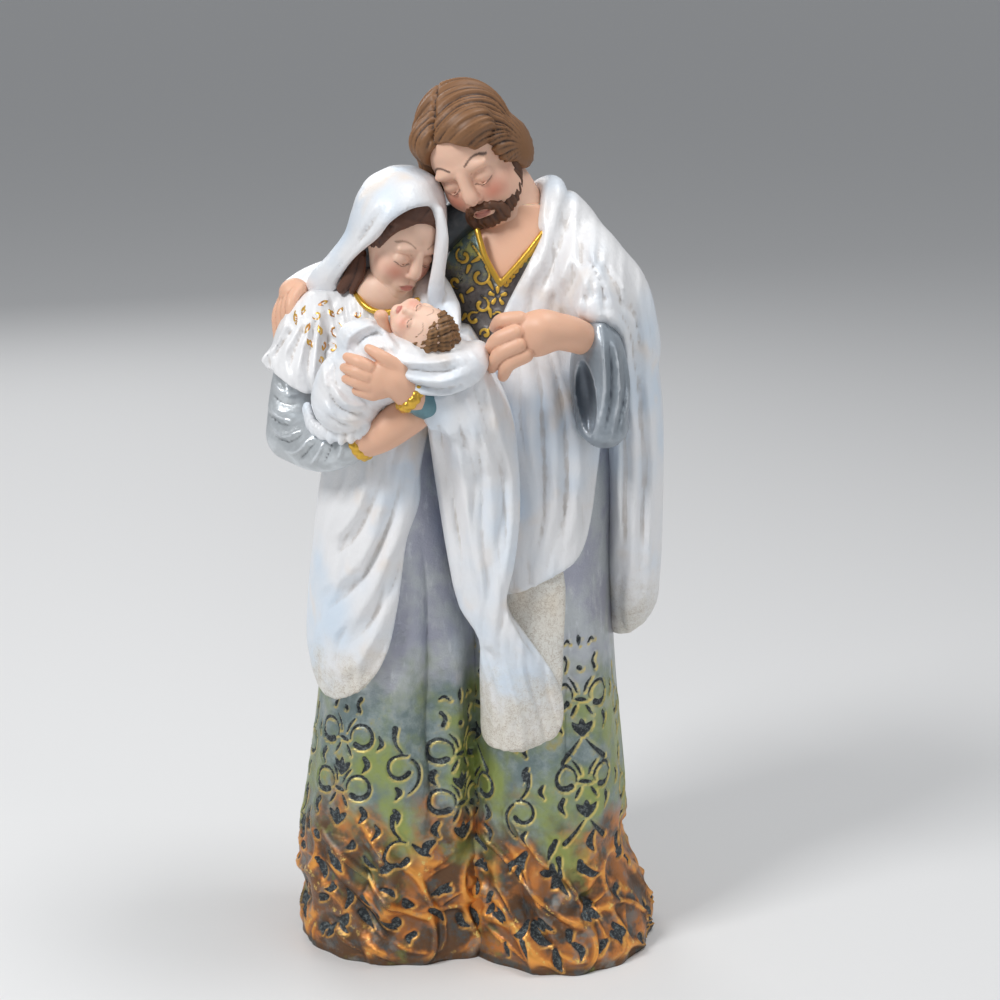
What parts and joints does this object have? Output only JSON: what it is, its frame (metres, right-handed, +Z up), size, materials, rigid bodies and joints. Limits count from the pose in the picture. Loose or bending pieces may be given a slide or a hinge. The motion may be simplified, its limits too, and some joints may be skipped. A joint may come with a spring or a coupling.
{
  "type": "holy family statue",
  "caption": "Painted resin group of a veiled mother holding a swaddled child and a bearded man in a cloak, cast in one piece with a flat foot.",
  "frame": {"origin": "on the flat underside, near the middle of the foot", "axes": "-Y is the front that the figures face, +X is the man's side, +Z is up"},
  "size_m": [0.1135, 0.0819, 0.2538],
  "materials": {
    "painted_resin": "cast resin, hand painted: pearly white cloth, silver-grey and bronze gowns, gilt trims, satin"
  },
  "bodies": {
    "root": {"holy_family_statue": "painted_resin"}
  },
  "joints": []
}
